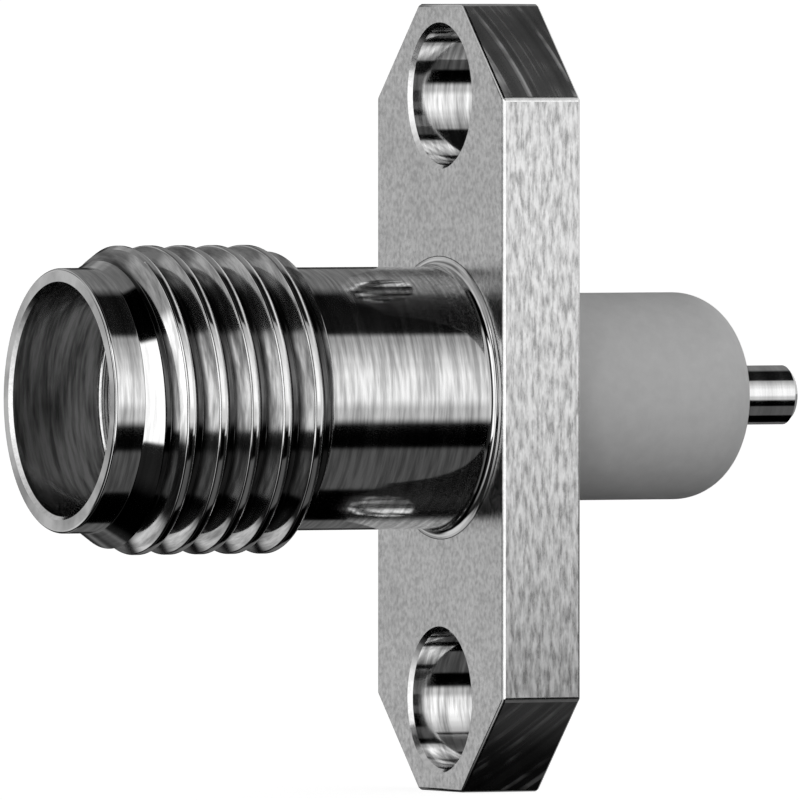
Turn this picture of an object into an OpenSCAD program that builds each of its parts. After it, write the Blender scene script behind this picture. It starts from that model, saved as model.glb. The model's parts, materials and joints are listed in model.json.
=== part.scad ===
// SMA jack: threaded socket on a two-hole panel flange, with an extended insulator and a solder pin.
//
// Millimetres. The connector's axis is Y: the mouth opens towards -Y and the solder pin points to +Y.
// The origin is on that axis, in the flange's rear face, which seats on the panel. The flange is long in Z.
//
// Every turned shape is drawn around +Z with the mouth upwards, and on_connector_axis() lays it along -Y.
// A height in a turned shape is therefore a distance in front of the panel face.

/* [Flange] */
// Distance from the centre of each screw hole to the flange's end
end_distance = 1.85; // [1.6:0.05:3]
// Width of the flange across its milled sides
flange_width = 5.8; // [5.7:0.1:8]
// Thickness from the front face to the panel face
flange_thickness = 1.75; // [1.2:0.05:3]
// 45 degree cut at each of the four corners
corner_cut = 1.9; // [0.5:0.1:2.1]

/* [Screw holes] */
// Distance between the centres of the two screw holes
hole_spacing = 12.2; // [10:0.1:20]
// Diameter of each screw hole
hole_diameter = 2.8; // [2.2:0.05:2.9]
// Edge break around each screw hole, front and rear
hole_break = 0.08; // [0.02:0.01:0.15]

/* [Barrel] */
// Length of the barrel, from the flange's front face to the mouth
barrel_length = 8.5; // [7.5:0.1:12]
// Diameter of the plain neck behind the thread
neck_diameter = 5.3; // [5.1:0.05:5.35]
// Fillet between the neck and the flange
neck_fillet = 0.15; // [0.05:0.01:0.17]
// Diameter of the plain nose in front of the thread
nose_diameter = 5.33; // [5.1:0.01:5.36]
// Length of the plain nose
nose_length = 0.65; // [0.3:0.01:0.8]
// Edge break on both edges of the mouth's rim
rim_break = 0.07; // [0.02:0.01:0.12]

/* [Coupling thread] */
// Major diameter, 1/4-36 UNS
thread_major = 6.22; // [6.15:0.01:6.35]
// Threads in an inch
threads_per_inch = 36; // [35:1:40]
// Angle between the two flanks of the groove
thread_angle = 60; // [55:1:65]
// Width of the flat on top of the ridge
crest_flat = 0.16; // [0.1:0.01:0.2]
// Width of the flat at the bottom of the groove
root_flat = 0.12; // [0.08:0.01:0.18]
// Length of the cone that leads from the nose up to the major diameter
lead_in_length = 0.65; // [0.3:0.01:0.8]
// Distance from the cone's start to the groove's centre line, measured on the +X side
thread_start = 0.48; // [0.2:0.01:0.6]
// Length at the full major diameter
thread_length = 3.3; // [2:0.01:5]
// Length of the cone that drops from the major diameter to the neck
shoulder_length = 0.25; // [0.1:0.01:0.5]

/* [Mating face] */
// Diameter of the bore that takes the plug's outer conductor
mating_bore_diameter = 4.65; // [4.4:0.01:4.8]
// Depth from the mouth to the reference plane
mating_bore_depth = 2.05; // [1.6:0.01:2.6]

/* [Insulator] */
// Diameter of the insulator's front part, at the reference plane
insulator_face_diameter = 4.1; // [3.9:0.01:4.15]
// Length of that front part, down to the shoulder that stops the insulator
insulator_face_length = 2; // [1:0.1:4]
// Diameter of the rest, which passes through the flange
insulator_diameter = 4.2; // [4.18:0.01:4.4]
// Length of the insulator that stands out behind the panel face
insulator_reach = 4.65; // [1.6:0.05:8]
// Radius of the insulator's rounded rear edge
insulator_rounding = 1.15; // [0.2:0.05:1.2]

/* [Centre contact] */
// Outside diameter of the slotted socket
socket_diameter = 1.27; // [1.24:0.01:1.4]
// Bore of the socket, for the plug's pin
socket_bore = 0.94; // [0.85:0.01:1]
// Depth of the socket's bore
socket_depth = 2.6; // [2:0.1:3.5]
// Distance of the socket's end behind the reference plane
socket_recess = 0.1; // [0:0.01:0.25]
// Width of each slot
slot_width = 0.15; // [0.08:0.01:0.17]
// Length of each slot
slot_length = 2.1; // [1:0.1:2.4]
// Number of cuts across the socket, each of which makes two slots
slot_cuts = 2; // [1:1:2]
// Distance from the reference plane to the tip of the barb that holds the contact in the insulator
barb_depth = 5; // [4:0.1:6]
// Height of the barb above the contact
barb_height = 0.12; // [0.05:0.01:0.2]
// Length of the barb's slope
barb_length = 0.4; // [0.2:0.05:0.8]
// Diameter of the solder pin
pin_diameter = 1.2; // [0.9:0.01:1.22]
// Length of the solder pin that stands out behind the insulator
pin_reach = 1.45; // [0.5:0.05:4]
// Diameter of the collar that stops the contact at the insulator's rear end
collar_diameter = 1.6; // [1.55:0.01:1.8]
// Length of that collar
collar_length = 0.6; // [0.55:0.05:1.2]
// Edge break on the pin's end and at the socket's entry
contact_break = 0.1; // [0.02:0.01:0.14]

/* [Fits] */
// Radial clearance of the insulator in the body, and of the contact in the insulator
press_clearance = 0.02; // [0.01:0.01:0.04]

/* [Hidden] */
$fn = 96;

// Angular steps in one turn of the thread
steps_per_turn = 36;
// How far a cutting tool runs past the surface that it cuts
overrun = 0.3;
// Length of the helix over the nose, before it meets the cone's start
thread_run_in = 0.1;
// Share of the crest flat that each side of the threading tool takes above the blank
crest_share = 1 / 3;

flange_length = hole_spacing + 2 * end_distance;
mouth = flange_thickness + barrel_length;
reference_plane = mouth - mating_bore_depth;
insulator_shoulder = reference_plane - insulator_face_length;
insulator_end = -insulator_reach;
socket_face = reference_plane - socket_recess;
pin_end = insulator_end - pin_reach;

pitch = 25.4 / threads_per_inch;
thread_radius = thread_major / 2;
lead_in_start = mouth - nose_length;
thread_front = lead_in_start - lead_in_length;
thread_rear = thread_front - thread_length;
flank_slope = tan(thread_angle / 2);
groove_depth = (pitch - crest_flat - root_flat) / 2 / flank_slope;

// Lays a shape turned around +Z along the connector's axis, with +Z towards the mouth at -Y
module on_connector_axis() {
    rotate([90, 0, 0]) children();
}

// Round bore or pin from one height to another
module bar(diameter, from, to) {
    translate([0, 0, from]) cylinder(d = diameter, h = to - from);
}

// Screw hole with an edge break at both faces of the flange
module screw_hole() {
    wide = hole_diameter + 2 * hole_break;
    bar(hole_diameter, -overrun, flange_thickness + overrun);
    for (face = [[0, -1], [flange_thickness, 1]])
        translate([0, 0, face[0]])
            rotate([face[1] > 0 ? 180 : 0, 0, 0]) {
                cylinder(d1 = wide, d2 = hole_diameter, h = hole_break);
                translate([0, 0, -overrun]) cylinder(d = wide, h = overrun);
            }
}

// Flat plate, cut at 45 degrees on its four corners
module flange_plate() {
    half_x = flange_width / 2;
    half_y = flange_length / 2;
    quarter = [[half_x, half_y - corner_cut], [half_x - corner_cut, half_y]];
    linear_extrude(flange_thickness)
        polygon([
            quarter[0], quarter[1],
            [-quarter[1][0], quarter[1][1]], [-quarter[0][0], quarter[0][1]],
            [-quarter[0][0], -quarter[0][1]], [-quarter[1][0], -quarter[1][1]],
            [quarter[1][0], -quarter[1][1]], [quarter[0][0], -quarter[0][1]]
        ]);
}

// Turned outside of the barrel before the thread is cut: neck, shoulder, thread blank, lead-in and nose
module barrel_blank() {
    neck_radius = neck_diameter / 2;
    nose_radius = nose_diameter / 2;
    rotate_extrude()
        polygon([
            [0, flange_thickness / 2],
            [neck_radius, flange_thickness / 2],
            [neck_radius, thread_rear - shoulder_length],
            [thread_radius, thread_rear],
            [thread_radius, thread_front],
            [nose_radius, lead_in_start],
            [nose_radius, mouth - rim_break],
            [nose_radius - rim_break, mouth],
            [0, mouth]
        ]);
    // Fillet that the turning tool leaves against the flange
    translate([0, 0, flange_thickness])
        rotate_extrude()
            difference() {
                translate([neck_radius - overrun, -overrun])
                    square([overrun + neck_fillet, overrun + neck_fillet]);
                translate([neck_radius + neck_fillet, neck_fillet]) circle(r = neck_fillet);
            }
}

// Section of the thread's groove at one step: four corners, wider outwards, on a right-hand helix
function groove_corners(step) =
    let (
        angle = first_angle - step * 360 / steps_per_turn,
        height = lead_in_start - thread_start + pitch * angle / 360,
        root_radius = thread_radius - groove_depth,
        // The outer edge clears the blank, and neighbouring turns stay apart
        outer_radius = thread_radius + crest_share * crest_flat / flank_slope,
        root_half = root_flat / 2,
        outer_half = root_half + (outer_radius - root_radius) * flank_slope
    )
    [for (corner = [[root_radius, -root_half], [outer_radius, -outer_half],
                    [outer_radius, outer_half], [root_radius, root_half]])
        [corner[0] * cos(angle), corner[0] * sin(angle), height + corner[1]]];

// The helix begins in the air over the nose and ends in the air over the neck
first_angle = 360 * (thread_start + thread_run_in) / pitch;
threaded_stretch = thread_run_in + lead_in_length + thread_length + shoulder_length;
groove_steps = ceil((threaded_stretch / pitch + 1) * steps_per_turn);

// Solid swept by the threading tool
module thread_groove() {
    points = [for (step = [0:groove_steps]) each groove_corners(step)];
    last = 4 * groove_steps;
    polyhedron(
        points = points,
        faces = [
            [0, 1, 2], [0, 2, 3],
            for (step = [0:groove_steps - 1], side = [0:3])
                let (a = 4 * step + side, b = 4 * step + (side + 1) % 4)
                each [[a, a + 4, b + 4], [a, b + 4, b]],
            [last, last + 2, last + 1], [last, last + 3, last + 2]
        ]
    );
}

// One turned and milled piece: flange, neck, thread and nose
module body() {
    color("lightgrey")
        on_connector_axis()
            difference() {
                union() {
                    flange_plate();
                    barrel_blank();
                }
                for (side = [-1, 1])
                    translate([0, side * hole_spacing / 2, 0]) screw_hole();
                bar(mating_bore_diameter, reference_plane, mouth + overrun);
                translate([0, 0, mouth - rim_break])
                    cylinder(
                        d1 = mating_bore_diameter,
                        d2 = mating_bore_diameter + 2 * rim_break,
                        h = rim_break
                    );
                insulator_outline(press_clearance);
                thread_groove();
            }
}

// Insulator's outside up to its rear edge, grown by a clearance where it is cut out of the body
module insulator_outline(clearance = 0) {
    top = clearance > 0 ? mouth : reference_plane;
    bottom = clearance > 0 ? -overrun : insulator_end + insulator_rounding;
    bar(insulator_face_diameter + 2 * clearance, insulator_shoulder - overrun, top);
    bar(insulator_diameter + 2 * clearance, bottom, insulator_shoulder);
}

// Contact's outside inside the insulator, with the collar that stops it and the barb that holds it,
// grown by a clearance where it is cut
module contact_outline(clearance = 0) {
    radius = socket_diameter / 2 + clearance;
    collar_radius = collar_diameter / 2 + clearance;
    top = clearance > 0 ? mouth : socket_face;
    bottom = clearance > 0 ? insulator_end - overrun : insulator_end;
    collar_top = insulator_end + collar_length;
    barb = reference_plane - barb_depth;
    rotate_extrude()
        polygon([
            [0, bottom],
            [collar_radius, bottom],
            [collar_radius, collar_top],
            [radius, collar_top],
            [radius, barb],
            [radius + barb_height, barb],
            [radius, barb + barb_length],
            [radius, top],
            [0, top]
        ]);
}

// Insulator rod from the reference plane to its rounded rear end, bored for the contact
module insulator() {
    flat_radius = insulator_diameter / 2 - insulator_rounding;
    color("gainsboro")
        on_connector_axis()
            difference() {
                union() {
                    insulator_outline();
                    // The rear end, with its edge rounded over
                    translate([0, 0, insulator_end])
                        rotate_extrude() {
                            square([flat_radius, 2 * insulator_rounding]);
                            intersection() {
                                translate([flat_radius, insulator_rounding]) circle(r = insulator_rounding);
                                square([insulator_diameter, 2 * insulator_rounding]);
                            }
                        }
                }
                contact_outline(press_clearance);
            }
}

// One turned piece: the slotted socket in front, the solder pin behind
module centre_contact() {
    pin_radius = pin_diameter / 2;
    socket_floor = socket_face - socket_depth;
    color("silver")
        on_connector_axis()
            difference() {
                union() {
                    contact_outline();
                    rotate_extrude()
                        polygon([
                            [0, pin_end],
                            [pin_radius - contact_break, pin_end],
                            [pin_radius, pin_end + contact_break],
                            [pin_radius, insulator_end],
                            [0, insulator_end + overrun]
                        ]);
                }
                bar(socket_bore, socket_floor, socket_face + overrun);
                translate([0, 0, socket_face - contact_break])
                    cylinder(d1 = socket_bore, d2 = socket_bore + 2 * contact_break, h = contact_break);
                for (cut = [0:slot_cuts - 1])
                    rotate([0, 0, 180 * cut / slot_cuts])
                        translate([-socket_diameter, -slot_width / 2, socket_face - slot_length])
                            cube([2 * socket_diameter, slot_width, slot_length + overrun]);
            }
}

body();
insulator();
centre_contact();
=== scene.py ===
"""Small threaded coaxial jack on a two-hole panel flange: finished geometry, finishes and studio.

Shapes are made in millimetres in the lathe's frame: +Z is the connector's axis and points to the mouth, and a
height is the distance in front of the panel face. Workshop.finished() turns a mesh into the part's frame,
where the mouth points to -Y, and scales it to metres.
"""

from __future__ import annotations

import json
import logging
import math
from dataclasses import dataclass
from enum import Enum
from typing import Iterable, Sequence

import bmesh
import bpy
from mathutils import Matrix, Vector


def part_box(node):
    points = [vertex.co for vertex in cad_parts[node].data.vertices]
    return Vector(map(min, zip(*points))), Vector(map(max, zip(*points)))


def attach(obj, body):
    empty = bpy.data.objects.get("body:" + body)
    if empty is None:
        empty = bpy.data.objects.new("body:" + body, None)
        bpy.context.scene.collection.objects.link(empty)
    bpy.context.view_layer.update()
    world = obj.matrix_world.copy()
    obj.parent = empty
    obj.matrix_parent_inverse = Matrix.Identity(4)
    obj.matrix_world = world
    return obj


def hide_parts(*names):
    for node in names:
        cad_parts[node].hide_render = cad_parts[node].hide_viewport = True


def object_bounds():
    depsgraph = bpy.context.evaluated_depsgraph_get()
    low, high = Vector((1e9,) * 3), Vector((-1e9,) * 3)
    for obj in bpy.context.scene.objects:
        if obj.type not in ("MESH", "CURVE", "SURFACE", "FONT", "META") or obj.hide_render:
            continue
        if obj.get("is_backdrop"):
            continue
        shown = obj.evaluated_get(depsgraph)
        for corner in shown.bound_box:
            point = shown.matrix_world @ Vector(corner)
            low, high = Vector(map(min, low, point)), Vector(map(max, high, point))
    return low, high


LOG = logging.getLogger("jack")
MM = 0.001
BODY = "root"
NOISE_ROUGHNESS = 0.6
GRAIN_RANGE = (0.36, 0.62)
LINE_RANGE = (0.36, 0.6)

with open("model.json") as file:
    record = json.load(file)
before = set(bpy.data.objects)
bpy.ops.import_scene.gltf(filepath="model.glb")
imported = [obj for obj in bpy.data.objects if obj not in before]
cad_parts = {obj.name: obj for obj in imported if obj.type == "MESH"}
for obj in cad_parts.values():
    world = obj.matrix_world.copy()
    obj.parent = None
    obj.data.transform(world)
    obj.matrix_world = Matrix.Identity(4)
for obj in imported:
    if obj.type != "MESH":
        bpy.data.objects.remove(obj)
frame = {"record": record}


# ---------------------------------------------------------------------------------------------------------
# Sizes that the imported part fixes
# ---------------------------------------------------------------------------------------------------------


@dataclass(frozen=True)
class Datums:
    """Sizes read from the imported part, in millimetres. Heights are distances in front of the panel face."""

    mouth: float
    flange_length: float
    thread_radius: float
    hole_offset: float
    hole_radius: float
    bore_radius: float
    reference_plane: float
    insulator_radius: float
    insulator_end: float
    socket_face: float
    socket_bore_radius: float
    pin_radius: float
    pin_end: float

    @classmethod
    def from_frame(cls) -> Datums:
        """Reads the node boxes and the stated mounts.

        Returns:
            The part's driving sizes.
        """
        mounts = {mount["name"]: mount["dims"] for mount in frame["record"]["mounts"]}
        body_low, body_high = (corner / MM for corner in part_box("body"))
        rod_low, rod_high = (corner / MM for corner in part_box("insulator"))
        contact_low, contact_high = (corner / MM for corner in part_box("centre_contact"))
        return cls(
            mouth=-body_low.y,
            flange_length=body_high.z - body_low.z,
            thread_radius=(body_high.x - body_low.x) / 2,
            hole_offset=mounts["panel_screws"]["spacing_y_mm"] / 2,
            hole_radius=mounts["panel_screws"]["hole_r_mm"],
            bore_radius=mounts["mating_bore"]["r_mm"],
            reference_plane=-rod_low.y,
            insulator_radius=(rod_high.x - rod_low.x) / 2,
            insulator_end=-rod_high.y,
            socket_face=-contact_low.y,
            socket_bore_radius=mounts["contact_socket"]["r_mm"],
            pin_radius=mounts["solder_pin"]["r_mm"],
            pin_end=-contact_high.y,
        )


# ---------------------------------------------------------------------------------------------------------
# Shader building
# ---------------------------------------------------------------------------------------------------------


class Axis(Enum):
    """Part axis that a pattern runs along."""

    X = 0
    Y = 1
    Z = 2


class Joining(Enum):
    """How a tool acts on a piece: added to it, or cut out of it."""

    ADDED = "UNION"
    CUT_OUT = "DIFFERENCE"


class ShaderBench:
    """Node tree of one material or world, with short ways to add and join nodes."""

    def __init__(self, tree: bpy.types.NodeTree) -> None:
        """Empties a node tree for building.

        Args:
            tree: The tree of a material or a world.
        """
        self.tree = tree
        tree.nodes.clear()

    def add(self, kind: str, **settings: object) -> bpy.types.Node:
        """Adds a node.

        Args:
            kind: Blender's name of the node type.
            **settings: Properties set on the new node.

        Returns:
            The node.
        """
        node = self.tree.nodes.new(kind)
        for name, value in settings.items():
            setattr(node, name, value)
        return node

    def join(self, source: bpy.types.NodeSocket, target: bpy.types.NodeSocket) -> None:
        """Links an output socket to an input socket."""
        self.tree.links.new(source, target)

    def math(
        self, operation: str, first: float | bpy.types.NodeSocket, second: float | bpy.types.NodeSocket = 0.0
    ) -> bpy.types.NodeSocket:
        """Adds a Math node.

        Args:
            operation: Math operation.
            first: First number or socket.
            second: Second number or socket.

        Returns:
            The result's socket.
        """
        node = self.add("ShaderNodeMath", operation=operation)
        for socket, value in zip(node.inputs, (first, second)):
            if isinstance(value, bpy.types.NodeSocket):
                self.join(value, socket)
            else:
                socket.default_value = value
        return node.outputs[0]

    def stretched_noise(self, cycles: tuple[float, float, float], detail: float) -> bpy.types.NodeSocket:
        """Adds a noise on Object coordinates with its own grain along each axis.

        Args:
            cycles: Features in a millimetre along X, Y and Z.
            detail: Octaves of finer noise.

        Returns:
            The noise's value, about 0.5 on average.
        """
        place = self.add("ShaderNodeTexCoord")
        mapping = self.add("ShaderNodeMapping", vector_type="TEXTURE")
        mapping.inputs["Scale"].default_value = [MM / count for count in cycles]
        noise = self.add("ShaderNodeTexNoise")
        noise.inputs["Scale"].default_value = 1.0
        noise.inputs["Detail"].default_value = detail
        noise.inputs["Roughness"].default_value = NOISE_ROUGHNESS
        self.join(place.outputs["Object"], mapping.inputs["Vector"])
        self.join(mapping.outputs["Vector"], noise.inputs["Vector"])
        return noise.outputs["Fac"]

    def spread(
        self, value: bpy.types.NodeSocket, low: float, high: float, start: float = 0.3, stop: float = 0.7
    ) -> bpy.types.NodeSocket:
        """Maps a noise's usual range onto two levels.

        Args:
            value: The noise.
            low: Level at the range's start.
            high: Level at the range's end.
            start: Start of the range.
            stop: End of the range.

        Returns:
            The mapped value's socket.
        """
        node = self.add("ShaderNodeMapRange")
        node.inputs["From Min"].default_value = start
        node.inputs["From Max"].default_value = stop
        node.inputs["To Min"].default_value = low
        node.inputs["To Max"].default_value = high
        self.join(value, node.inputs["Value"])
        return node.outputs["Result"]

    def grey(self, value: bpy.types.NodeSocket) -> bpy.types.NodeSocket:
        """Turns one number into a neutral colour."""
        node = self.add("ShaderNodeCombineColor")
        for name in ("Red", "Green", "Blue"):
            self.join(value, node.inputs[name])
        return node.outputs["Color"]

    def bump(
        self, height: bpy.types.NodeSocket, depth_mm: float, under: bpy.types.NodeSocket | None = None
    ) -> bpy.types.NodeSocket:
        """Adds a bump.

        Args:
            height: Height between 0 and 1.
            depth_mm: Depth of a full step, in millimetres.
            under: Normal that this bump is laid over.

        Returns:
            The new normal's socket.
        """
        node = self.add("ShaderNodeBump")
        node.inputs["Strength"].default_value = 1.0
        node.inputs["Distance"].default_value = depth_mm * MM
        self.join(height, node.inputs["Height"])
        if under is not None:
            self.join(under, node.inputs["Normal"])
        return node.outputs["Normal"]


@dataclass(frozen=True)
class Finish:
    """A surface finish. Subclasses lay their own pattern over the plain surface."""

    name: str
    tone: float
    roughness: float

    def material(self) -> bpy.types.Material:
        """Builds the material once, and returns it after that.

        Returns:
            The material.
        """
        known = bpy.data.materials.get(self.name)
        if known:
            return known
        material = bpy.data.materials.new(self.name)
        material.use_nodes = True
        bench = ShaderBench(material.node_tree)
        shader = bench.add("ShaderNodeBsdfPrincipled")
        output = bench.add("ShaderNodeOutputMaterial")
        bench.join(shader.outputs["BSDF"], output.inputs["Surface"])
        shader.inputs["Base Color"].default_value = (self.tone, self.tone, self.tone, 1)
        shader.inputs["Roughness"].default_value = self.roughness
        self.pattern(bench, shader)
        return material

    def pattern(self, bench: ShaderBench, shader: bpy.types.Node) -> None:
        """Lays the finish's pattern over the plain surface.

        Args:
            bench: The material's tree.
            shader: The Principled node to feed.
        """
        raise NotImplementedError


@dataclass(frozen=True)
class TurnedSteel(Finish):
    """Steel with the fine rings that a turning tool leaves around the connector's axis."""

    rings_per_mm: float = 9.0
    ring_depth: float = 0.00025
    contrast: float = 0.35
    streak_per_mm: float = 0.8
    broad_tones: tuple[float, float] = (0.86, 1.06)
    broad_gloss: tuple[float, float] = (0.75, 1.3)
    broad_share: float = 4.0

    def pattern(self, bench: ShaderBench, shader: bpy.types.Node) -> None:
        """Adds turning rings, broad and fine, and a slight change of gloss between them."""
        shader.inputs["Metallic"].default_value = 1.0
        around = self.streak_per_mm
        fine = bench.stretched_noise((around, self.rings_per_mm, around), detail=3)
        broad = bench.stretched_noise((around / 6, self.rings_per_mm / self.broad_share, around / 6), detail=1)
        low, high = self.tone * (1 - self.contrast), min(self.tone * (1 + self.contrast / 3), 1)
        clean = bench.math(
            "MULTIPLY", bench.spread(fine, low, high, *GRAIN_RANGE), bench.spread(broad, *self.broad_tones)
        )
        # A subclass may lay painted shade over the tone here.
        tone = self.shaded(bench, clean)
        bench.join(bench.grey(tone), shader.inputs["Base Color"])
        smooth, rough = (self.roughness * share for share in self.broad_gloss)
        bench.join(bench.spread(broad, smooth, rough), shader.inputs["Roughness"])
        normal = bench.bump(broad, self.ring_depth * self.broad_share)
        bench.join(bench.bump(fine, self.ring_depth, normal), shader.inputs["Normal"])

    def shaded(self, bench: ShaderBench, tone: bpy.types.NodeSocket) -> bpy.types.NodeSocket:
        """Leaves the tone as it is. A subclass may paint shade over places of it."""
        return tone


@dataclass(frozen=True)
class RootShadedThreadSteel(TurnedSteel):
    """Turned steel with painted shade in its grooves: the tone darkens towards their root, where shade falls.
    """

    # Painted shade: the tone darkens over the shade height above the root's radius, darkest at the root.
    root_radius: float = 2.74
    shade_height: float = 0.12
    painted_root_shade: float = 0.12

    def shaded(self, bench: ShaderBench, tone: bpy.types.NodeSocket) -> bpy.types.NodeSocket:
        """Paints shade into the grooves: darkens the tone close to the root's radius.

        Args:
            bench: The material's tree.
            tone: Tone of the clean flank.

        Returns:
            The shaded tone's socket.
        """
        place = bench.add("ShaderNodeTexCoord")
        parts = bench.add("ShaderNodeSeparateXYZ")
        bench.join(place.outputs["Object"], parts.inputs["Vector"])
        squares = (bench.math("MULTIPLY", parts.outputs[name], parts.outputs[name]) for name in ("X", "Z"))
        radius = bench.math("SQRT", bench.math("ADD", *squares))
        start, stop = self.root_radius * MM, (self.root_radius + self.shade_height) * MM
        # Painted shade, darkest at the root's radius.
        return bench.math("MULTIPLY", tone, bench.spread(radius, self.painted_root_shade, 1.0, start, stop))


@dataclass(frozen=True)
class FacedSteel(Finish):
    """Satin steel with a fine even mottle, as on a tumbled and passivated face."""

    grain_per_mm: float = 9.0
    grain_depth: float = 0.0012
    contrast: float = 0.3
    cloud_per_mm: float = 0.9
    cloud_tones: tuple[float, float] = (0.93, 1.06)

    def pattern(self, bench: ShaderBench, shader: bpy.types.Node) -> None:
        """Adds a fine mottle to the tone, the gloss and the surface."""
        shader.inputs["Metallic"].default_value = 1.0
        grain = bench.stretched_noise((self.grain_per_mm,) * 3, detail=5)
        cloud = bench.stretched_noise((self.cloud_per_mm,) * 3, detail=3)
        fine = bench.spread(grain, self.tone * (1 - self.contrast), min(self.tone * 1.08, 1), *GRAIN_RANGE)
        tone = bench.math("MULTIPLY", fine, bench.spread(cloud, *self.cloud_tones))
        bench.join(bench.grey(tone), shader.inputs["Base Color"])
        bench.join(bench.spread(grain, self.roughness * 0.85, self.roughness * 1.2), shader.inputs["Roughness"])
        bench.join(bench.bump(grain, self.grain_depth), shader.inputs["Normal"])


@dataclass(frozen=True)
class MilledSteel(Finish):
    """Steel with the short straight streaks of a milling cutter or a belt."""

    lines_per_mm: float = 10.0
    streak_per_mm: float = 2.4
    line_depth: float = 0.0008
    contrast: float = 0.5
    along: Axis = Axis.Z
    mottle_per_mm: float = 5.0
    mottle_tones: tuple[float, float] = (0.88, 1.08)

    def pattern(self, bench: ShaderBench, shader: bpy.types.Node) -> None:
        """Adds streaks along one axis and a fine mottle between them."""
        shader.inputs["Metallic"].default_value = 1.0
        cycles = [self.lines_per_mm] * 3
        cycles[self.along.value] = self.streak_per_mm
        lines = bench.stretched_noise(tuple(cycles), detail=4)
        mottle = bench.stretched_noise((self.mottle_per_mm,) * 3, detail=4)
        low, high = self.tone * (1 - self.contrast), min(self.tone * 1.12, 1)
        tone = bench.math(
            "MULTIPLY", bench.spread(lines, low, high, *LINE_RANGE), bench.spread(mottle, *self.mottle_tones)
        )
        bench.join(bench.grey(tone), shader.inputs["Base Color"])
        bench.join(bench.spread(lines, self.roughness * 0.8, self.roughness * 1.25), shader.inputs["Roughness"])
        bench.join(bench.bump(lines, self.line_depth), shader.inputs["Normal"])


@dataclass(frozen=True)
class FlyCutSteel(Finish):
    """Smooth steel with the few long arcs that one cutter tooth leaves as it sweeps over a corner."""

    arcs_per_mm: float = 5.0
    arc_centre: tuple[float, float, float] = (0.0, -9.0, 3.0)
    arc_depth: float = 0.0008
    patch_per_mm: float = 1.2
    arc_range: tuple[float, float] = (0.54, 0.66)
    patch_range: tuple[float, float] = (0.42, 0.6)
    arc_glint: float = 0.3
    arc_blur: float = 0.2

    def pattern(self, bench: ShaderBench, shader: bpy.types.Node) -> None:
        """Adds thin bright arcs around a centre beside the flange, and broad faint ones under them."""
        shader.inputs["Metallic"].default_value = 1.0
        place = bench.add("ShaderNodeTexCoord")
        apart = bench.add("ShaderNodeVectorMath", operation="DISTANCE")
        bench.join(place.outputs["Object"], apart.inputs[0])
        apart.inputs[1].default_value = [value * MM for value in self.arc_centre]
        count = bench.math("MULTIPLY", apart.outputs["Value"], self.arcs_per_mm / MM)
        noise = bench.add("ShaderNodeTexNoise", noise_dimensions="1D")
        noise.inputs["Scale"].default_value = 1.0
        noise.inputs["Detail"].default_value = 2.0
        bench.join(count, noise.inputs["W"])
        arcs = noise.outputs["Fac"]
        patch = bench.stretched_noise((self.patch_per_mm,) * 3, detail=2)
        thin = bench.math(
            "MULTIPLY", bench.spread(arcs, 0, 1, *self.arc_range), bench.spread(patch, 0, 1, *self.patch_range)
        )
        glint = bench.math("MULTIPLY", thin, self.arc_glint)
        tone = bench.math("ADD", bench.spread(arcs, self.tone * 0.6, self.tone), glint)
        bench.join(bench.grey(tone), shader.inputs["Base Color"])
        gloss = bench.spread(patch, self.roughness * 0.9, self.roughness * 1.1)
        rough = bench.math("ADD", gloss, bench.math("MULTIPLY", thin, self.arc_blur))
        bench.join(rough, shader.inputs["Roughness"])
        bench.join(bench.bump(arcs, self.arc_depth), shader.inputs["Normal"])


@dataclass(frozen=True)
class MattePtfe(Finish):
    """Matte white PTFE with a faint cloudiness and turning rings."""

    cloud_per_mm: float = 3.5
    rings_per_mm: float = 12.0
    ring_depth: float = 0.0015

    def pattern(self, bench: ShaderBench, shader: bpy.types.Node) -> None:
        """Adds clouding to the tone and shallow turning rings to the surface."""
        shader.inputs["Specular IOR Level"].default_value = 0.3
        cloud = bench.stretched_noise((self.cloud_per_mm,) * 3, detail=4)
        rings = bench.stretched_noise((0.1, self.rings_per_mm, 0.1), detail=2)
        tone = bench.spread(cloud, self.tone * 0.95, min(self.tone * 1.03, 1))
        bench.join(bench.grey(tone), shader.inputs["Base Color"])
        bench.join(bench.spread(cloud, self.roughness * 0.9, self.roughness * 1.1), shader.inputs["Roughness"])
        bench.join(bench.bump(rings, self.ring_depth), shader.inputs["Normal"])


TURNED = TurnedSteel("turned_steel", tone=0.75, roughness=0.09, contrast=0.4)
# Thread grooves: painted shade darkens the tone towards each root.
THREADED = RootShadedThreadSteel(
    "threaded_steel", tone=0.86, roughness=0.1, rings_per_mm=11, ring_depth=0.0002, contrast=0.55
)
BURNISHED = TurnedSteel(
    "burnished_steel", tone=0.95, roughness=0.07, rings_per_mm=12, ring_depth=0.0001, contrast=0.2
)
FACED = FacedSteel("faced_steel", tone=0.78, roughness=0.2, contrast=0.34)
MILLED = MilledSteel("milled_steel", tone=0.8, roughness=0.3, contrast=0.54)
# Painted shade: the corner facets' tone is set low, darker than the other flange faces, for the shade on them.
SHADED_CORNER = FlyCutSteel("fly_cut_steel", tone=0.42, roughness=0.26)
EDGE = FacedSteel("edge_steel", tone=0.88, roughness=0.14, grain_depth=0.0002, contrast=0.12)
DRILLED = TurnedSteel(
    "drilled_steel", tone=0.84, roughness=0.08, rings_per_mm=8, ring_depth=0.0003, contrast=0.5
)
# Painted shade: the bore's walls take a dark tone for the shade inside the mating bore.
SHADED_BORE = TurnedSteel("bored_steel", tone=0.33, roughness=0.2, rings_per_mm=8, ring_depth=0.0004, contrast=0.6)
PTFE = MattePtfe("matte_ptfe", tone=0.74, roughness=0.55)
PLATED = TurnedSteel(
    "plated_contact", tone=0.86, roughness=0.08, rings_per_mm=12, ring_depth=0.0001, contrast=0.1
)


# ---------------------------------------------------------------------------------------------------------
# Outlines and solids
# ---------------------------------------------------------------------------------------------------------


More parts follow.
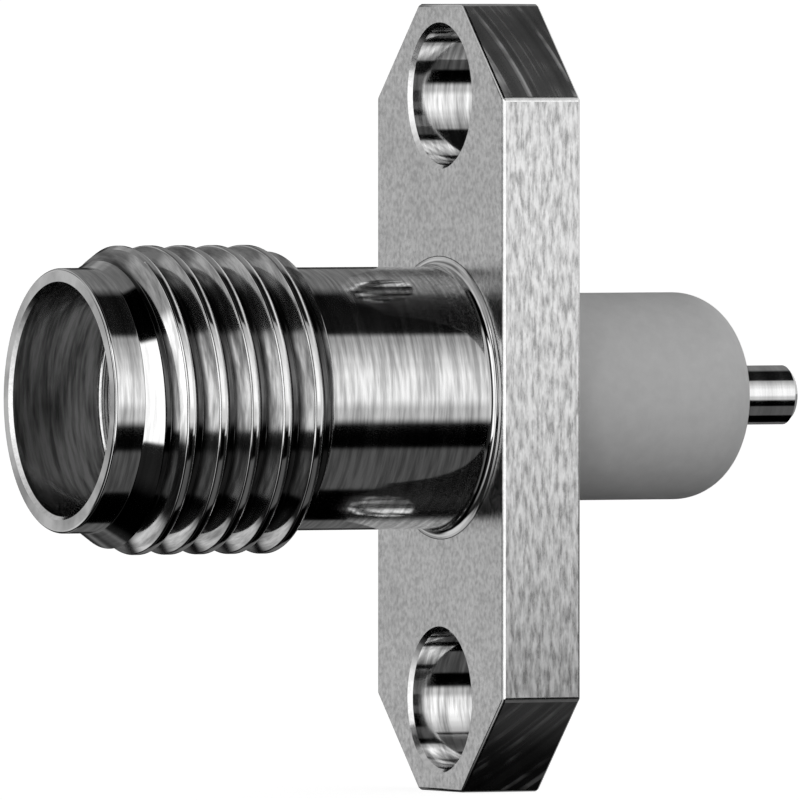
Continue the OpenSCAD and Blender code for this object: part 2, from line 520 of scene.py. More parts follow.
@dataclass(frozen=True)
class Corner:
    """One corner of an outline, sharp or rounded. In a turned outline x is the radius and y the height."""

    x: float
    y: float
    rounding: float = 0.0

    @property
    def point(self) -> Vector:
        """The corner before it is rounded."""
        return Vector((self.x, self.y))


@dataclass(frozen=True)
class Outline:
    """Closed outline from its corners."""

    corners: tuple[Corner, ...]
    arc_step: float = 12.0
    support: float = 0.02

    def points(self) -> list[Vector]:
        """Replaces each rounded corner by an arc, with a support point on both sides of it.

        Returns:
            The outline's points in order.
        """
        made: list[Vector] = []
        count = len(self.corners)
        for index, corner in enumerate(self.corners):
            here = corner.point
            if corner.rounding <= 0:
                made.append(here)
                continue
            before = (self.corners[index - 1].point - here).normalized()
            after = (self.corners[(index + 1) % count].point - here).normalized()
            opening = before.angle(after)
            reach = corner.rounding / math.tan(opening / 2)
            centre = here + (before + after).normalized() * corner.rounding / math.sin(opening / 2)
            start, stop = here + before * reach, here + after * reach
            made.append(start + before * self.support)
            steps = max(2, math.ceil(math.degrees(math.pi - opening) / self.arc_step))
            first, last = start - centre, stop - centre
            way = 1 if first.x * last.y > first.y * last.x else -1
            sweep = (math.pi - opening) * way
            for step in range(steps + 1):
                turn = Matrix.Rotation(sweep * step / steps, 2)
                made.append(centre + turn @ first)
            made.append(stop + after * self.support)
        return made


@dataclass
class Workshop:
    """Makes meshes in the lathe's frame, joins and cuts them, and lays finished ones in the part's frame."""

    segments: int = 288
    weld: float = 0.0002
    crease: float = 20.0
    least_slope: float = 0.1
    most_slope: float = 0.99

    def object_from(self, name: str, shape: bmesh.types.BMesh, finishes: Iterable[Finish]) -> bpy.types.Object:
        """Turns a shape into a linked object with its materials.

        Args:
            name: Object's name.
            shape: Faces, whose material indices follow the finishes.
            finishes: Finishes in the order of their indices.

        Returns:
            The object.
        """
        bmesh.ops.recalc_face_normals(shape, faces=shape.faces)
        mesh = bpy.data.meshes.new(name)
        shape.to_mesh(mesh)
        shape.free()
        for finish in finishes:
            mesh.materials.append(finish.material())
        piece = bpy.data.objects.new(name, mesh)
        bpy.context.collection.objects.link(piece)
        return piece

    def turned(
        self, name: str, outline: Outline, finish: Finish, broken: Finish | None = None, axis_y: float = 0.0
    ) -> bpy.types.Object:
        """Revolves an outline around an axis parallel to +Z.

        Args:
            name: Object's name.
            outline: Closed outline in radius and height. Its points on the axis close the ends.
            finish: Finish of the surface.
            broken: Finish of what neither runs along the axis nor square to it, or None for the same finish.
            axis_y: Place of the axis.

        Returns:
            The solid.
        """
        shape = bmesh.new()
        rings: list[list[bmesh.types.BMVert]] = []
        for point in outline.points():
            if point.x < self.weld:
                rings.append([shape.verts.new((0, axis_y, point.y))])
                continue
            ring = []
            for step in range(self.segments):
                angle = math.tau * step / self.segments
                place = (point.x * math.cos(angle), axis_y + point.x * math.sin(angle), point.y)
                ring.append(shape.verts.new(place))
            rings.append(ring)
        for lower, upper in zip(rings, rings[1:] + rings[:1]):
            if len(lower) == 1 and len(upper) == 1:
                continue
            for step in range(self.segments):
                beside = (step + 1) % self.segments
                if len(lower) == 1:
                    shape.faces.new((lower[0], upper[beside], upper[step]))
                elif len(upper) == 1:
                    shape.faces.new((lower[step], lower[beside], upper[0]))
                else:
                    shape.faces.new((lower[step], lower[beside], upper[beside], upper[step]))
        for face in shape.faces:
            face.normal_update()
            slanted = self.least_slope < abs(face.normal.z) < self.most_slope
            face.material_index = int(broken is not None and slanted)
        return self.object_from(name, shape, [finish, broken or finish])

    def baked(self, piece: bpy.types.Object) -> bpy.types.Object:
        """Replaces an object's mesh and modifiers by the evaluated mesh.

        Args:
            piece: Object with modifiers.

        Returns:
            The same object, without modifiers.
        """
        graph = bpy.context.evaluated_depsgraph_get()
        mesh = bpy.data.meshes.new_from_object(
            piece.evaluated_get(graph), preserve_all_data_layers=True, depsgraph=graph
        )
        piece.modifiers.clear()
        piece.data = mesh
        return piece

    def combined(self, piece: bpy.types.Object, tool: bpy.types.Object, joining: Joining) -> bpy.types.Object:
        """Joins a tool to a piece or cuts it out, and removes the tool.

        Args:
            piece: Solid that stays.
            tool: Solid that is used up. Its materials come along on the faces that it leaves.
            joining: Whether the tool is added or cut out.

        Returns:
            The piece.
        """
        boolean = piece.modifiers.new("combine", "BOOLEAN")
        boolean.operation = joining.value
        boolean.solver = "EXACT"
        boolean.material_mode = "TRANSFER"
        boolean.object = tool
        self.baked(piece)
        bpy.data.objects.remove(tool)
        return piece

    def finished(self, piece: bpy.types.Object, slot: str, *nodes: str) -> bpy.types.Object:
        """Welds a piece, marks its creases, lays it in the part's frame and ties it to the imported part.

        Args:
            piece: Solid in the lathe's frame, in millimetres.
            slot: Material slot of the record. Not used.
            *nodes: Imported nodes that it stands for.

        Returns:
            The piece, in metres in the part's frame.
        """
        shape = bmesh.new()
        shape.from_mesh(piece.data)
        bmesh.ops.remove_doubles(shape, verts=shape.verts, dist=self.weld)
        bmesh.ops.dissolve_degenerate(shape, edges=shape.edges, dist=self.weld)
        loose = [vert for vert in shape.verts if not vert.link_faces]
        bmesh.ops.delete(shape, geom=loose, context="VERTS")
        open_edges = [edge for edge in shape.edges if len(edge.link_faces) != 2]
        for face in shape.faces:
            face.smooth = True
        limit = math.radians(self.crease)
        for edge in shape.edges:
            if len(edge.link_faces) == 2:
                edge.smooth = edge.calc_face_angle() < limit
        lay = Matrix.Scale(MM, 4) @ Matrix.Rotation(math.radians(90), 4, "X")
        shape.transform(lay)
        shape.to_mesh(piece.data)
        shape.free()
        piece.data.update()
        triangles = sum(len(polygon.vertices) - 2 for polygon in piece.data.polygons)
        LOG.info("%s: %d triangles, %d open edges", piece.name, triangles, len(open_edges))
        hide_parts(*nodes)
        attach(piece, BODY)
        return piece


# ---------------------------------------------------------------------------------------------------------
# Coupling thread
# ---------------------------------------------------------------------------------------------------------


@dataclass
class CouplingThread:
    """Right-hand outside thread: a tool's section swept along a helix and cut out of the turned blank."""

    radius: float
    pitch: float
    start_height: float
    start_angle: float
    turns: float
    root_flat: float = 0.12
    root_rounding: float = 0.035
    crest_flat: float = 0.16
    crest_rounding: float = 0.07
    crest_overlap: float = 0.055
    clear: float = 0.0015
    flank_angle: float = 30.0
    steps_per_turn: int = 144
    overrun: float = 0.06
    groove_mark: str = "groove"

    @property
    def depth(self) -> float:
        """Depth of the groove below the major radius."""
        half = (self.pitch - self.crest_flat - self.root_flat) / 2
        return half / math.tan(math.radians(self.flank_angle))

    def tool_section(self) -> bpy.types.Object:
        """Draws the threading tool's section as a flat closed curve around the blank's radius.

        Returns:
            A curve object whose x runs outwards from the blank's surface and y along the axis.
        """
        root = self.root_flat / 2
        crest = (self.pitch - self.crest_flat) / 2
        half = [
            Corner(-self.depth, root, self.root_rounding),
            Corner(self.clear, crest, self.crest_rounding),
            Corner(self.clear, crest + self.crest_overlap),
            Corner(self.overrun, crest + self.crest_overlap),
        ]
        mirrored = [Corner(corner.x, -corner.y, corner.rounding) for corner in reversed(half)]
        points = Outline(tuple(half + mirrored), arc_step=10, support=0.01).points()
        curve = bpy.data.curves.new("threading_tool", "CURVE")
        spline = curve.splines.new("POLY")
        spline.points.add(len(points) - 1)
        spline.use_cyclic_u = True
        for slot, point in zip(spline.points, reversed(points)):
            slot.co = (point.x, point.y, 0, 1)
        section = bpy.data.objects.new("threading_tool", curve)
        bpy.context.collection.objects.link(section)
        return section

    def tree(self) -> bpy.types.NodeTree:
        """Builds the tree that sweeps the tool's section along the helix and cuts it out of the blank.

        Returns:
            The Geometry Nodes tree, with a named input for each size.
        """
        tree = bpy.data.node_groups.new("helical_thread", "GeometryNodeTree")
        tree.is_modifier = True
        face = tree.interface
        face.new_socket("Blank", in_out="INPUT", socket_type="NodeSocketGeometry")
        face.new_socket("Cut Blank", in_out="OUTPUT", socket_type="NodeSocketGeometry")
        sizes = {
            "Radius": self.radius,
            "Pitch": self.pitch,
            "Turns": self.turns,
            "Start Height": self.start_height,
            "Start Angle": self.start_angle,
        }
        for name, value in sizes.items():
            face.new_socket(name, in_out="INPUT", socket_type="NodeSocketFloat").default_value = value
        steps = face.new_socket("Steps per Turn", in_out="INPUT", socket_type="NodeSocketInt")
        steps.default_value = self.steps_per_turn
        face.new_socket("Tool Section", in_out="INPUT", socket_type="NodeSocketObject")
        face.new_socket("Finish", in_out="INPUT", socket_type="NodeSocketMaterial")

        bench = ShaderBench(tree)
        given = bench.add("NodeGroupInput").outputs
        helix = bench.add("GeometryNodeCurveSpiral")
        helix.inputs["Reverse"].default_value = True
        bench.join(given["Steps per Turn"], helix.inputs["Resolution"])
        bench.join(given["Turns"], helix.inputs["Rotations"])
        bench.join(given["Radius"], helix.inputs["Start Radius"])
        bench.join(given["Radius"], helix.inputs["End Radius"])
        bench.join(bench.math("MULTIPLY", given["Turns"], given["Pitch"]), helix.inputs["Height"])
        upright = bench.add("GeometryNodeSetCurveNormal", mode="Z_UP")
        bench.join(helix.outputs["Curve"], upright.inputs["Curve"])
        section = bench.add("GeometryNodeObjectInfo", transform_space="ORIGINAL")
        bench.join(given["Tool Section"], section.inputs["Object"])
        sweep = bench.add("GeometryNodeCurveToMesh")
        sweep.inputs["Fill Caps"].default_value = True
        bench.join(upright.outputs["Curve"], sweep.inputs["Curve"])
        bench.join(section.outputs["Geometry"], sweep.inputs["Profile Curve"])
        mark = bench.add("GeometryNodeStoreNamedAttribute", data_type="BOOLEAN", domain="FACE")
        mark.inputs["Name"].default_value = self.groove_mark
        mark.inputs["Value"].default_value = True
        bench.join(sweep.outputs["Mesh"], mark.inputs["Geometry"])
        lift = bench.add("ShaderNodeCombineXYZ")
        bench.join(given["Start Height"], lift.inputs["Z"])
        turn = bench.add("ShaderNodeCombineXYZ")
        bench.join(bench.math("RADIANS", given["Start Angle"]), turn.inputs["Z"])
        place = bench.add("GeometryNodeTransform")
        bench.join(mark.outputs["Geometry"], place.inputs["Geometry"])
        bench.join(lift.outputs["Vector"], place.inputs["Translation"])
        bench.join(turn.outputs["Vector"], place.inputs["Rotation"])
        cut = bench.add("GeometryNodeMeshBoolean", operation="DIFFERENCE", solver="EXACT")
        bench.join(given["Blank"], cut.inputs["Mesh 1"])
        bench.join(place.outputs["Geometry"], cut.inputs["Mesh 2"])
        solid = bench.add("GeometryNodeRealizeInstances")
        bench.join(cut.outputs["Mesh"], solid.inputs["Geometry"])
        marked = bench.add("GeometryNodeInputNamedAttribute", data_type="BOOLEAN")
        marked.inputs["Name"].default_value = self.groove_mark
        dress = bench.add("GeometryNodeSetMaterial")
        bench.join(solid.outputs["Geometry"], dress.inputs["Geometry"])
        bench.join(marked.outputs["Attribute"], dress.inputs["Selection"])
        bench.join(given["Finish"], dress.inputs["Material"])
        result = bench.add("NodeGroupOutput")
        bench.join(dress.outputs["Geometry"], result.inputs["Cut Blank"])
        return tree

    def cut(self, blank: bpy.types.Object, workshop: Workshop) -> bpy.types.Object:
        """Cuts the thread into a blank.

        Args:
            blank: Turned blank in the lathe's frame.
            workshop: Bakes the result.

        Returns:
            The blank with its thread.
        """
        tree = self.tree()
        section = self.tool_section()
        modifier = blank.modifiers.new("thread", "NODES")
        modifier.node_group = tree
        inputs = {item.name: item.identifier for item in tree.interface.items_tree if item.in_out == "INPUT"}
        modifier[inputs["Tool Section"]] = section
        modifier[inputs["Finish"]] = THREADED.material()
        workshop.baked(blank)
        bpy.data.objects.remove(section)
        blank.data.attributes.remove(blank.data.attributes[self.groove_mark])
        return blank


# ---------------------------------------------------------------------------------------------------------
# Pieces
# ---------------------------------------------------------------------------------------------------------


@dataclass
class JackBody:
    """One turned and milled piece: flange, neck, thread and nose."""

    datums: Datums
    flange_width: float = 5.8
    flange_thickness: float = 1.75
    corner_cut: float = 1.9
    flange_edge: float = 0.12
    edge_profile: float = 0.34
    hole_break: float = 0.08
    neck_radius: float = 2.65
    neck_fillet: float = 0.2
    fillet_share: float = 0.97
    fillet_lift: float = 0.004
    turned_rounding: float = 0.03
    nose_radius: float = 2.665
    nose_length: float = 0.65
    rim_break: float = 0.07
    lead_in_length: float = 0.65
    thread_start: float = 0.48
    thread_run_in: float = 0.1
    thread_length: float = 3.3
    shoulder_length: float = 0.25
    pitch: float = 25.4 / 36
    crest_reach: float = 0.005
    press_clearance: float = 0.02
    shoulder_depth: float = 2.0
    shoulder_step: float = 0.05
    bore_fillet: float = 0.12
    overrun: float = 0.3

    @property
    def lead_in_start(self) -> float:
        """Height where the nose ends and the lead-in cone starts."""
        return self.datums.mouth - self.nose_length

    def blank(self, workshop: Workshop) -> bpy.types.Object:
        """Turns the barrel before its thread is cut.

        Args:
            workshop: Makes the mesh.

        Returns:
            The blank.
        """
        thread_front = self.lead_in_start - self.lead_in_length
        thread_rear = thread_front - self.thread_length
        root = self.flange_thickness
        corners = (
            Corner(0, root / 2),
            Corner(self.neck_radius + self.neck_fillet, root / 2),
            Corner(self.neck_radius + self.neck_fillet, root + self.fillet_lift),
            Corner(self.neck_radius, root + self.fillet_lift, self.neck_fillet * self.fillet_share),
            Corner(self.neck_radius, thread_rear - self.shoulder_length, self.turned_rounding),
            Corner(self.datums.thread_radius, thread_rear),
            Corner(self.datums.thread_radius, thread_front),
            Corner(self.nose_radius, self.lead_in_start, self.turned_rounding),
            Corner(self.nose_radius, self.datums.mouth, self.rim_break),
            Corner(0, self.datums.mouth),
        )
        blank = workshop.turned("body_metal", Outline(corners), TURNED, BURNISHED)
        for face in blank.data.polygons:
            if face.center.xy.length > self.datums.thread_radius - self.crest_reach:
                face.material_index = 1
        return blank

    def flange(self, workshop: Workshop) -> bpy.types.Object:
        """Cuts the flange plate with its four corners off and its edges broken.

        Args:
            workshop: Makes the mesh.

        Returns:
            The plate, faced front and back and milled on its sides.
        """
        half_x, half_y, cut = self.flange_width / 2, self.datums.flange_length / 2, self.corner_cut
        corner = [(half_x, -half_y + cut), (half_x, half_y - cut), (half_x - cut, half_y)]
        outline = corner + [(-half_x + cut, half_y), (-half_x, half_y - cut), (-half_x, -half_y + cut)]
        outline += [(-half_x + cut, -half_y), (half_x - cut, -half_y)]
        shape = bmesh.new()
        rear = [shape.verts.new((x, y, 0)) for x, y in outline]
        front = [shape.verts.new((x, y, self.flange_thickness)) for x, y in outline]
        shape.faces.new(list(reversed(rear))).material_index = 0
        shape.faces.new(front).material_index = 0
        for index in range(len(outline)):
            beside = (index + 1) % len(outline)
            side = shape.faces.new((rear[index], rear[beside], front[beside], front[index]))
            spans = (abs(here - there) for here, there in zip(outline[index], outline[beside]))
            side.material_index = 2 if min(spans) > workshop.weld else 1
        bmesh.ops.bevel(
            shape,
            geom=list(shape.edges),
            offset=self.flange_edge,
            offset_type="WIDTH",
            segments=3,
            profile=self.edge_profile,
            affect="EDGES",
            material=3,
        )
        # The corner facets take the low-toned finish, painted shade.
        return workshop.object_from("flange", shape, [FACED, MILLED, SHADED_CORNER, EDGE])

    def inside(self, workshop: Workshop) -> bpy.types.Object:
        """Turns the tool that clears the mating bore and the insulator's seat.

        Args:
            workshop: Makes the mesh.

        Returns:
            The tool.
        """
        datums = self.datums
        seat = datums.insulator_radius + self.press_clearance
        face = seat - self.shoulder_step
        shoulder = datums.reference_plane - self.shoulder_depth
        top = datums.mouth + self.overrun
        corners = (
            Corner(0, -self.overrun),
            Corner(seat, -self.overrun),
            Corner(seat, shoulder),
            Corner(face, shoulder),
            Corner(face, datums.reference_plane),
            Corner(datums.bore_radius, datums.reference_plane, self.bore_fillet),
            Corner(datums.bore_radius, datums.mouth - self.rim_break),
            Corner(datums.bore_radius + self.rim_break, datums.mouth),
            Corner(datums.bore_radius + self.rim_break, top),
            Corner(0, top),
        )
        # The bore's walls take the dark finish, painted shade of the recess.
        return workshop.turned("inside_tool", Outline(corners), SHADED_BORE, EDGE)

    def screw_hole(self, workshop: Workshop, side: int) -> bpy.types.Object:
        """Turns the tool that drills one screw hole and breaks its edges.

        Args:
            workshop: Makes the mesh.
            side: 1 for the upper hole, -1 for the lower.

        Returns:
            The tool.
        """
        radius, top = self.datums.hole_radius, self.flange_thickness
        wide = radius + self.hole_break
        corners = (
            Corner(0, -self.overrun),
            Corner(wide, -self.overrun),
            Corner(wide, 0),
            Corner(radius, self.hole_break),
            Corner(radius, top - self.hole_break),
            Corner(wide, top),
            Corner(wide, top + self.overrun),
            Corner(0, top + self.overrun),
        )
        return workshop.turned("drill", Outline(corners), DRILLED, EDGE, side * self.datums.hole_offset)

    def build(self, workshop: Workshop) -> bpy.types.Object:
        """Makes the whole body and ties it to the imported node.

        Args:
            workshop: Makes and combines the meshes.

        Returns:
            The finished piece.
        """
        body = self.blank(workshop)
        run = self.thread_run_in + self.lead_in_length + self.thread_length + self.shoulder_length
        turns = run / self.pitch + 1
        top_angle = 360 * (self.thread_start + self.thread_run_in) / self.pitch
        thread = CouplingThread(
            radius=self.datums.thread_radius,
            pitch=self.pitch,
            start_height=self.lead_in_start + self.thread_run_in - turns * self.pitch,
            start_angle=top_angle - turns * 360,
            turns=turns,
        )
        thread.cut(body, workshop)
        workshop.combined(body, self.flange(workshop), Joining.ADDED)
        workshop.combined(body, self.inside(workshop), Joining.CUT_OUT)
        for side in (-1, 1):
            workshop.combined(body, self.screw_hole(workshop, side), Joining.CUT_OUT)
        return workshop.finished(body, "body_metal", "body")


@dataclass
class Insulator:
    """Turned PTFE rod with a rounded rear end."""

    datums: Datums
    face_radius: float = 2.05
    face_length: float = 2.0
    rounding: float = 1.15
    contact_radius: float = 0.655
    collar_radius: float = 0.82
    collar_length: float = 0.6
    face_rounding: float = 0.04
    bore_rounding: float = 0.03

    def build(self, workshop: Workshop) -> bpy.types.Object:
        """Turns the rod with its contact bore.

        Args:
            workshop: Makes the mesh.

        Returns:
            The finished piece.
        """
        datums = self.datums
        shoulder = datums.reference_plane - self.face_length
        collar_top = datums.insulator_end + self.collar_length
        corners = (
            Corner(self.collar_radius, datums.insulator_end),
            Corner(datums.insulator_radius, datums.insulator_end, self.rounding),
            Corner(datums.insulator_radius, shoulder),
            Corner(self.face_radius, shoulder),
            Corner(self.face_radius, datums.reference_plane, self.face_rounding),
            Corner(self.contact_radius, datums.reference_plane, self.bore_rounding),
            Corner(self.contact_radius, collar_top),
            Corner(self.collar_radius, collar_top),
        )
        rod = workshop.turned("insulator_rod", Outline(corners, arc_step=5), PTFE)
        return workshop.finished(rod, "insulator", "insulator")


@dataclass
class CentreContact:
    """Turned contact: slotted socket in front, collar and solder pin behind."""

    datums: Datums
    socket_radius: float = 0.635
    socket_depth: float = 2.6
    slot_width: float = 0.15
    slot_length: float = 2.1
    slot_cuts: int = 2
    collar_radius: float = 0.8
    collar_length: float = 0.6
    contact_break: float = 0.1
    socket_rounding: float = 0.03

    def build(self, workshop: Workshop) -> bpy.types.Object:
        """Turns the contact and saws its slots.

        Args:
            workshop: Makes and cuts the mesh.

        Returns:
            The finished piece.
        """
        datums = self.datums
        floor = datums.socket_face - self.socket_depth
        collar_top = datums.insulator_end + self.collar_length
        corners = (
            Corner(0, datums.pin_end),
            Corner(datums.pin_radius - self.contact_break, datums.pin_end),
            Corner(datums.pin_radius, datums.pin_end + self.contact_break),
            Corner(datums.pin_radius, datums.insulator_end),
            Corner(self.collar_radius, datums.insulator_end),
            Corner(self.collar_radius, collar_top),
            Corner(self.socket_radius, collar_top),
            Corner(self.socket_radius, datums.socket_face, self.socket_rounding),
            Corner(datums.socket_bore_radius + self.contact_break, datums.socket_face),
            Corner(datums.socket_bore_radius, datums.socket_face - self.contact_break),
            Corner(datums.socket_bore_radius, floor),
            Corner(0, floor),
        )
        contact = workshop.turned("contact_metal", Outline(corners), PLATED)
        for cut in range(self.slot_cuts):
            saw = bmesh.new()
            turn = Matrix.Rotation(math.pi * cut / self.slot_cuts, 4, "Z")
            reach = Matrix.Diagonal((4 * self.socket_radius, self.slot_width, 2 * self.slot_length, 1))
            lift = Matrix.Translation((0, 0, datums.socket_face))
            bmesh.ops.create_cube(saw, size=1, matrix=lift @ turn @ reach)
            workshop.combined(contact, workshop.object_from("saw", saw, [PLATED]), Joining.CUT_OUT)
        return workshop.finished(contact, "contact_metal", "centre_contact")


# ---------------------------------------------------------------------------------------------------------
# Studio
# ---------------------------------------------------------------------------------------------------------


@dataclass(frozen=True)
class Band:
    """Strip of the studio's surround, along the connector's axis.

    It reaches up to an angle in degrees, counted from +X towards +Z. Over its softness, on both sides of that
    angle, it blends into the next band.
    """

    until: float
    level: float
    softness: float = 1.5


@dataclass(frozen=True)
class Ring:
    """Part of the surround between two places along the axis, from -1 in front to 1 behind, with its bands."""

    start: float
    stop: float
    bands: tuple[Band, ...]


@dataclass(frozen=True)
class Card:
    """Round card in the surround: where it hangs, its half width and softness in degrees, and its level."""

    toward: Sequence[float]
    reach: float
    softness: float
    level: float


@dataclass
class Studio:
    """Camera, surround and floor.

    Rings paint the surround from the front to the rear, cards hang before them, and the edge cards stand where
    edges broken at 45 degrees mirror them to the front. Levels are brightnesses before the common strength.
    """

    azimuth: float = 64.0
    elevation: float = 1.0
    lens: float = 1200.0
    sensor: float = 36.0
    frame_width: float = 16.145
    look_at: tuple[float, float, float] = (0.0, -2.64, -0.04)
    ring_softness: float = 0.04
    strength: float = 1.3
    rings: tuple[Ring, ...] = (
        Ring(0.52, 2.0, (Band(-134, 0.2), Band(-26, 0.01), Band(60, 0.62), Band(120, 0.6), Band(180, 0.5))),
        Ring(
            0.24,
            0.52,
            (
                Band(-160, 0.02),
                Band(-134, 0.1),
                Band(-86, 0.0),
                Band(-44, 0.075),
                Band(-19, 0.0, 3),
                Band(-4, 0.52, 4),
                Band(26, 0.88, 5),
                Band(38, 0.68, 4),
                Band(48, 0.5, 4),
                Band(58, 0.36, 2),
                Band(110, 0.004, 6),
                Band(162, 0.16),
                Band(180, 0.02),
            ),
        ),
        Ring(
            -0.14,
            0.24,
            (
                Band(-134, 0.1),
                Band(-86, 0.01),
                Band(-44, 0.08),
                Band(-18, 0.01, 3),
                Band(20, 0.6, 6),
                Band(60, 0.42, 4),
                Band(105, 0.03, 4),
                Band(180, 0.14),
            ),
        ),
        Ring(-0.5, -0.14, (Band(-38, 0.0), Band(55, 0.02), Band(105, 0.0), Band(180, 0.12))),
        Ring(-0.78, -0.5, (Band(-38, 0.01), Band(55, 1.0), Band(105, 0.0), Band(180, 0.28))),
        Ring(-2.0, -0.78, (Band(-38, 0.01), Band(105, 0.06), Band(180, 0.28))),
    )
    cards: tuple[Card, ...] = (
        Card((-0.9, -0.44, 0.0), 20, 5, 0.43),
        Card((-0.6, -0.8, 0.0), 18, 3, 0.01),
        Card((-0.15, -0.97, -0.15), 6, 2, 1.0),
        Card((-0.12, -0.99, -0.01), 6, 2, 1.0),
        Card((-0.14, -0.98, 0.14), 6, 2, 1.0),
        Card((-0.2, -0.94, 0.3), 7, 2, 1.0),
        Card((-0.74, -0.46, -0.5), 13, 4, 0.45),
    )
    edge_card_count: int = 25
    edge_reach: float = 7.0
    edge_softness: float = 3.0
    edge_level: float = 0.1
    edge_lift: float = 0.25
    edge_glow: float = 0.85
    edge_focus: int = 4
    floor_reach: float = 20.0
    floor_tone: float = 0.5
    floor_glow: float = 0.85

    @property
    def back(self) -> Vector:
        """Direction from the part to the camera."""
        turn, lift = math.radians(self.azimuth), math.radians(self.elevation)
        return Vector((math.sin(turn) * math.cos(lift), -math.cos(turn) * math.cos(lift), math.sin(lift)))

    def edge_arc(self) -> list[Card]:
        """Hangs small cards where round edges, broken at 45 degrees, mirror them to the front.

        Returns:
            The cards, in order around the connector's axis.
        """
        cards = []
        for count in range(self.edge_card_count):
            around = math.pi * (count / (self.edge_card_count - 1) - 0.5)
            normal = Vector((math.cos(around), -1, math.sin(around))).normalized()
            mirrored = 2 * normal.dot(self.back) * normal - self.back
            glow = self.edge_glow * math.cos(around) ** self.edge_focus
            level = self.edge_level + self.edge_lift * math.sin(around) + glow
            cards.append(Card(mirrored, self.edge_reach, self.edge_softness, max(level, 0.0)))
        return cards

    def camera(self) -> None:
        """Sets up the long-lens camera."""
        data = bpy.data.cameras.new("camera")
        data.type = "PERSP"
        data.lens = self.lens
        data.sensor_width = self.sensor
        distance = self.frame_width * self.lens / self.sensor * MM
        data.clip_start, data.clip_end = distance / 100, distance * 100
        camera = bpy.data.objects.new("camera", data)
        camera.location = Vector(self.look_at) * MM + self.back * distance
        camera.rotation_mode = "QUATERNION"
        camera.rotation_quaternion = (-self.back).to_track_quat("-Z", "Y")
        bpy.context.collection.objects.link(camera)
        bpy.context.scene.camera = camera
        bpy.context.scene.view_settings.view_transform = "Standard"

    def surround(self) -> None:
        """Builds the lit surround: strips beside the connector's axis, as in a tent of white and black."""
        world = bpy.data.worlds.new("surround")
        bpy.context.scene.world = world
        world.use_nodes = True
        bench = ShaderBench(world.node_tree)
        direction = bench.add("ShaderNodeTexCoord").outputs["Generated"]
        parts = bench.add("ShaderNodeSeparateXYZ")
        bench.join(direction, parts.inputs["Vector"])
        angle = bench.math("ARCTAN2", parts.outputs["Z"], parts.outputs["X"])
        share = bench.math("ADD", bench.math("DIVIDE", angle, math.tau), 0.5)
        level: float | bpy.types.NodeSocket = 0.0
        for ring in self.rings:
            level = bench.math("ADD", level, self.lit_ring(bench, parts.outputs["Y"], share, ring))
        for card in (*self.cards, *self.edge_arc()):
            level = self.hung(bench, direction, level, card)
        lit = bench.add("ShaderNodeBackground")
        lit.inputs["Strength"].default_value = self.strength
        bench.join(bench.grey(level), lit.inputs["Color"])
        plain = bench.add("ShaderNodeBackground")
        plain.inputs["Color"].default_value = (1, 1, 1, 1)
        plain.inputs["Strength"].default_value = 1.0
        path = bench.add("ShaderNodeLightPath")
        mix = bench.add("ShaderNodeMixShader")
        bench.join(path.outputs["Is Camera Ray"], mix.inputs["Fac"])
        bench.join(lit.outputs["Background"], mix.inputs[1])
        bench.join(plain.outputs["Background"], mix.inputs[2])
        output = bench.add("ShaderNodeOutputWorld")
        bench.join(mix.outputs["Shader"], output.inputs["Surface"])

    def lit_ring(
        self, bench: ShaderBench, along: bpy.types.NodeSocket, share: bpy.types.NodeSocket, ring: Ring
    ) -> bpy.types.NodeSocket:
        """Paints a ring's bands one after another around the axis.

        Args:
            bench: The world's tree.
            along: Place along the axis, from -1 to 1.
            share: Place around the axis, from 0 to 1.
            ring: The ring, whose last band ends at 180 degrees.

        Returns:
            The level's socket, 0 outside the ring.
        """
        ramp = bench.add("ShaderNodeValToRGB")
        stops = ramp.color_ramp.elements
        while len(stops) > 1:
            stops.remove(stops[-1])
        stops[0].position = 0.0
        stops[0].color = (ring.bands[0].level,) * 3 + (1,)
        for band, following in zip(ring.bands, ring.bands[1:]):
            for shift, level in ((-band.softness, band.level), (band.softness, following.level)):
                stop = stops.new((band.until + shift + 180) / 360)
                stop.color = (level,) * 3 + (1,)
        bench.join(share, ramp.inputs["Fac"])
        soft = self.ring_softness
        opened = bench.spread(along, 0, 1, ring.start - soft, ring.start + soft)
        closed = bench.spread(along, 1, 0, ring.stop - soft, ring.stop + soft)
        return bench.math("MULTIPLY", ramp.outputs["Color"], bench.math("MULTIPLY", opened, closed))

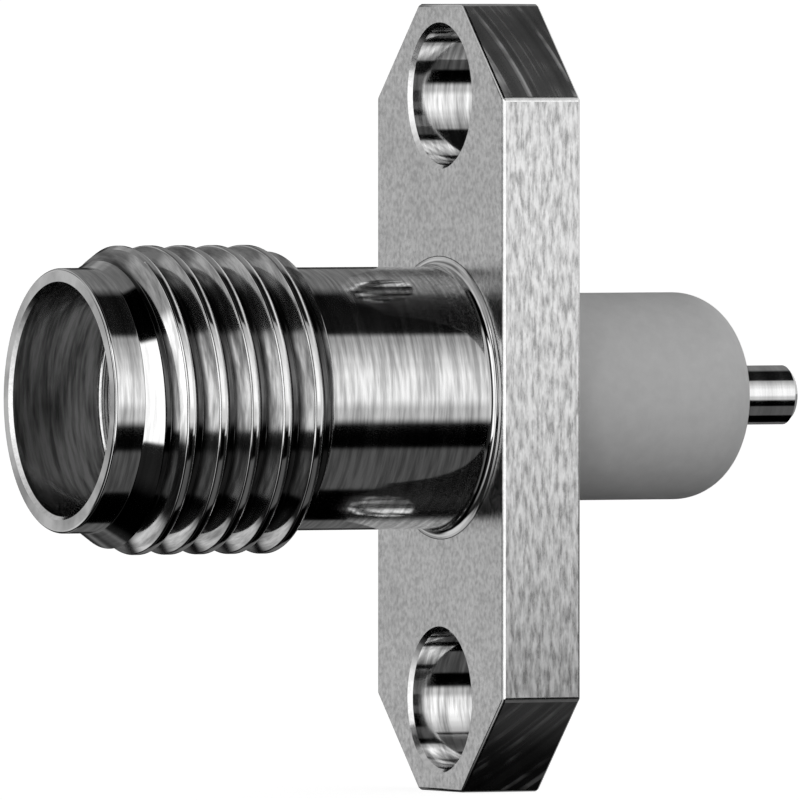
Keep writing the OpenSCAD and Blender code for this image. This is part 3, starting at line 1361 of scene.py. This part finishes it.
    def hung(
        self, bench: ShaderBench, direction: bpy.types.NodeSocket, level: bpy.types.NodeSocket, card: Card
    ) -> bpy.types.NodeSocket:
        """Hangs one card in front of what is there.

        Args:
            bench: The world's tree.
            direction: Direction that is looked in.
            level: Level without the card.
            card: The card.

        Returns:
            The level's socket with the card.
        """
        near = bench.add("ShaderNodeVectorMath", operation="DOT_PRODUCT")
        bench.join(direction, near.inputs[0])
        near.inputs[1].default_value = Vector(card.toward).normalized()
        outer = math.cos(math.radians(card.reach + card.softness))
        inner = math.cos(math.radians(card.reach - card.softness))
        share = bench.spread(near.outputs["Value"], 0, 1, outer, inner)
        mix = bench.add("ShaderNodeMix", data_type="FLOAT")
        bench.join(share, mix.inputs["Factor"])
        bench.join(level, mix.inputs["A"])
        mix.inputs["B"].default_value = card.level
        return mix.outputs["Result"]

    def floor(self, height: float) -> None:
        """Lays a plain white floor that gives no light to the metal.

        Args:
            height: Its height in metres.
        """
        shape = bmesh.new()
        bmesh.ops.create_grid(shape, x_segments=1, y_segments=1, size=self.floor_reach)
        mesh = bpy.data.meshes.new("floor")
        shape.to_mesh(mesh)
        shape.free()
        material = bpy.data.materials.new("white_paper")
        material.use_nodes = True
        shader = material.node_tree.nodes["Principled BSDF"]
        shader.inputs["Base Color"].default_value = (self.floor_tone,) * 3 + (1,)
        shader.inputs["Roughness"].default_value = 1.0
        shader.inputs["Specular IOR Level"].default_value = 0.0
        shader.inputs["Emission Color"].default_value = (1, 1, 1, 1)
        shader.inputs["Emission Strength"].default_value = self.floor_glow
        mesh.materials.append(material)
        floor = bpy.data.objects.new("floor", mesh)
        mesh.transform(Matrix.Translation((0, 0, height)))
        for ray in ("diffuse", "glossy", "transmission", "shadow"):
            setattr(floor, f"visible_{ray}", False)
        bpy.context.collection.objects.link(floor)
        floor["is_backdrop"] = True


def main() -> None:
    """Builds the studio and the three pieces in order."""
    logging.basicConfig(level=logging.INFO, format="%(name)s: %(message)s")
    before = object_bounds()
    datums = Datums.from_frame()
    studio = Studio()
    studio.camera()
    studio.surround()
    studio.floor(before[0].z)
    workshop = Workshop()
    for piece in (JackBody(datums), Insulator(datums), CentreContact(datums)):
        piece.build(workshop)


if __name__ == "__main__":
    main()
